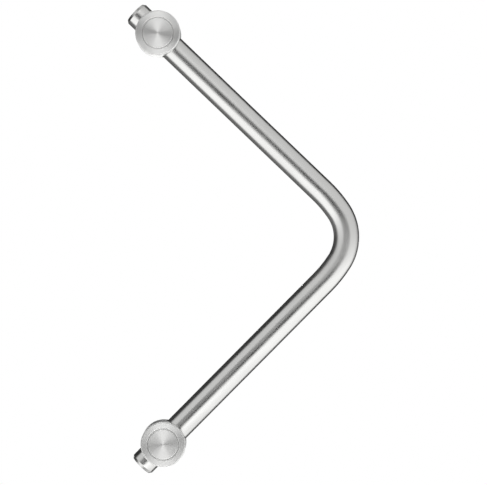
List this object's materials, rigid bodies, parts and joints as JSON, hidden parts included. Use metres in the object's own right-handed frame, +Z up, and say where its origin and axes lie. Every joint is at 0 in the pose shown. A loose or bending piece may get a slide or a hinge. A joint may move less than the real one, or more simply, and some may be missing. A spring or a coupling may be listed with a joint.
{
  "type": "cabinet handle",
  "caption": "V-shaped round-bar cabinet handle in brushed stainless steel: a bent bar held through turned posts with grooved faces, screwed on from behind the door.",
  "frame": {"origin": "midway between the two fixing holes, on the plane of the posts' feet, which is the face of the door", "axes": "+Z up along the line of the fixing holes, +Y into the door, +X the way the bend points"},
  "size_m": [0.1075, 0.0385, 0.2204],
  "materials": {
    "brushed_bar": "fine satin grinding round the bar",
    "turned_post": "fine concentric turning",
    "screw_steel": "plain stainless"
  },
  "bodies": {
    "root": {"handle_bar": "brushed_bar", "upper_post": "turned_post", "lower_post": "turned_post", "upper_set_screw": "screw_steel", "lower_set_screw": "screw_steel"}
  },
  "joints": []
}
